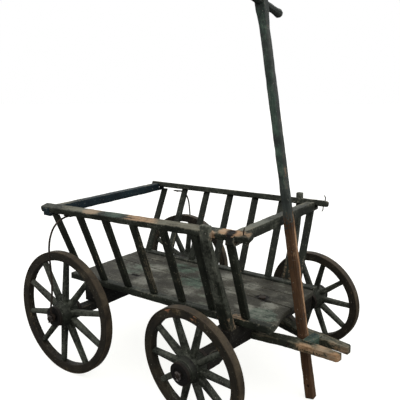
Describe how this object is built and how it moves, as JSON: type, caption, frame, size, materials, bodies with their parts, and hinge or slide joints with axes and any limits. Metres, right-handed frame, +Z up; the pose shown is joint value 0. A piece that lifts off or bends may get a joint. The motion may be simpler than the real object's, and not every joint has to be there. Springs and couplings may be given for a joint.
{
  "type": "old wooden ladder wagon",
  "caption": "Weathered hand-pulled ladder wagon with leaning rung sides, plank floor, spoked wooden wheels with iron tyres, a steered fork and an upright pole with a T grip.",
  "frame": {"origin": "middle of the wagon's bounding box, at ground level", "axes": "+X forwards to the fork, +Y to the wagon's left, +Z up"},
  "size_m": [1.1678, 0.9036, 1.3416],
  "materials": {
    "green_painted_wood": "old dark green paint, worn and dirty",
    "teal_painted_wood": "old blue-green paint, worn",
    "grey_boards": "weathered grey boards with scratches and traces of green paint",
    "brown_wood": "dark brown oiled and weathered hardwood",
    "dark_wood": "nearly black aged wood",
    "worn_wood": "wood worn bare at the edges, dark in the grain",
    "rusty_iron": "brown rusted forged iron"
  },
  "bodies": {
    "bed": {"floor_board_right": "grey_boards", "floor_board_middle": "grey_boards", "floor_board_left": "grey_boards", "lower_rail_right": "green_painted_wood", "lower_rail_left": "green_painted_wood", "top_rail_right": "green_painted_wood", "top_rail_left": "green_painted_wood", "rear_cross_bar": "teal_painted_wood", "front_cross_bar": "green_painted_wood", "rung_right_1": "green_painted_wood", "rung_right_2": "green_painted_wood", "rung_right_3": "green_painted_wood", "rung_right_4": "green_painted_wood", "rung_right_5": "green_painted_wood", "rung_right_6": "green_painted_wood", "rung_right_7": "green_painted_wood", "rung_left_1": "green_painted_wood", "rung_left_2": "green_painted_wood", "rung_left_3": "green_painted_wood", "rung_left_4": "green_painted_wood", "rung_left_5": "green_painted_wood", "rung_left_6": "green_painted_wood", "rung_left_7": "green_painted_wood", "front_stake_right": "green_painted_wood", "front_stake_left": "green_painted_wood", "rear_bolster": "dark_wood", "front_bolster": "dark_wood", "rear_axle_beam": "dark_wood", "reach_pole": "dark_wood", "king_pin": "rusty_iron", "rear_stay_right": "rusty_iron", "rear_stay_left": "rusty_iron", "axle_arm_rear_right": "rusty_iron", "axle_arm_rear_left": "rusty_iron"},
    "front_carriage": {"front_axle_beam": "dark_wood", "turning_bolster": "dark_wood", "fork_arm_right": "worn_wood", "fork_arm_left": "worn_wood", "fork_bolt": "rusty_iron", "fork_cleat": "teal_painted_wood", "axle_arm_front_right": "rusty_iron", "axle_arm_front_left": "rusty_iron"},
    "wheel_rear_right": {"hub_and_spokes_rear_right": "green_painted_wood", "felloes_rear_right": "brown_wood", "tyre_rear_right": "rusty_iron"},
    "wheel_rear_left": {"hub_and_spokes_rear_left": "green_painted_wood", "felloes_rear_left": "brown_wood", "tyre_rear_left": "rusty_iron"},
    "wheel_front_right": {"hub_and_spokes_front_right": "green_painted_wood", "felloes_front_right": "brown_wood", "tyre_front_right": "rusty_iron"},
    "wheel_front_left": {"hub_and_spokes_front_left": "green_painted_wood", "felloes_front_left": "brown_wood", "tyre_front_left": "rusty_iron"},
    "drawbar": {"pole": "brown_wood", "grip": "dark_wood"}
  },
  "joints": [
    {"name": "front_steering", "type": "hinge", "parent": "bed", "child": "front_carriage", "pos_m": [0.26109, 0, 0.2], "axis": [0, 0, 1], "range_deg": [-11.5, 24.5]},
    {"name": "wheel_rear_right_spin", "type": "hinge", "parent": "bed", "child": "wheel_rear_right", "pos_m": [-0.35391, -0.3755, 0.23], "axis": [0, 1, 0], "continuous": true},
    {"name": "wheel_rear_left_spin", "type": "hinge", "parent": "bed", "child": "wheel_rear_left", "pos_m": [-0.35391, 0.3755, 0.23], "axis": [0, 1, 0], "continuous": true},
    {"name": "wheel_front_right_spin", "type": "hinge", "parent": "front_carriage", "child": "wheel_front_right", "pos_m": [0.21859, -0.37309, 0.19543], "axis": [0.1128, 0.9898, 0.0872], "continuous": true},
    {"name": "wheel_front_left_spin", "type": "hinge", "parent": "front_carriage", "child": "wheel_front_left", "pos_m": [0.3036, 0.37309, 0.19543], "axis": [0.1128, 0.9898, 0.0872], "continuous": true},
    {"name": "drawbar_lift", "type": "slide", "parent": "front_carriage", "child": "drawbar", "axis": [-0.1801, 0.0205, 0.9834], "range_m": [0, 0.25]}
  ]
}
